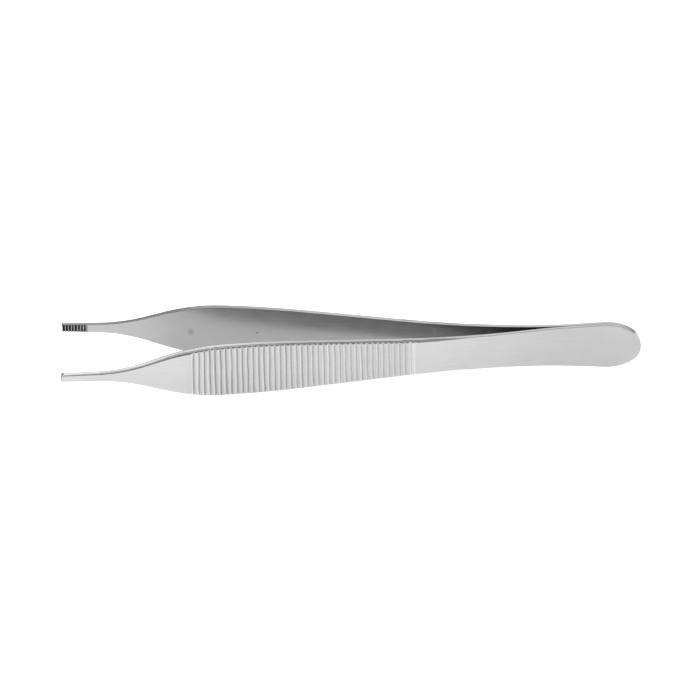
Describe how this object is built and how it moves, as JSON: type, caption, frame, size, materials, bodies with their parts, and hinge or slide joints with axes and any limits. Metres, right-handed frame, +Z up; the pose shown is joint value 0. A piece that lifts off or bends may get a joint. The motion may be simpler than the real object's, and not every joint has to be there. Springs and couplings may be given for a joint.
{
  "type": "thumb forceps",
  "caption": "Spring thumb forceps with broad ridged grips, slender necks and toothed jaws, for holding tissue or dressings.",
  "frame": {"origin": "centre of the footprint on the surface that the forceps lie on, edge down", "axes": "+X towards the welded butt, tips towards -X, Y across the gap between the arms, +Z up across the width of the arms"},
  "size_m": [0.12, 0.0222, 0.0115],
  "materials": {
    "satin_steel": "satin, finely brushed stainless steel"
  },
  "bodies": {
    "root": {"left_arm": "satin_steel", "right_arm": "satin_steel"}
  },
  "joints": []
}
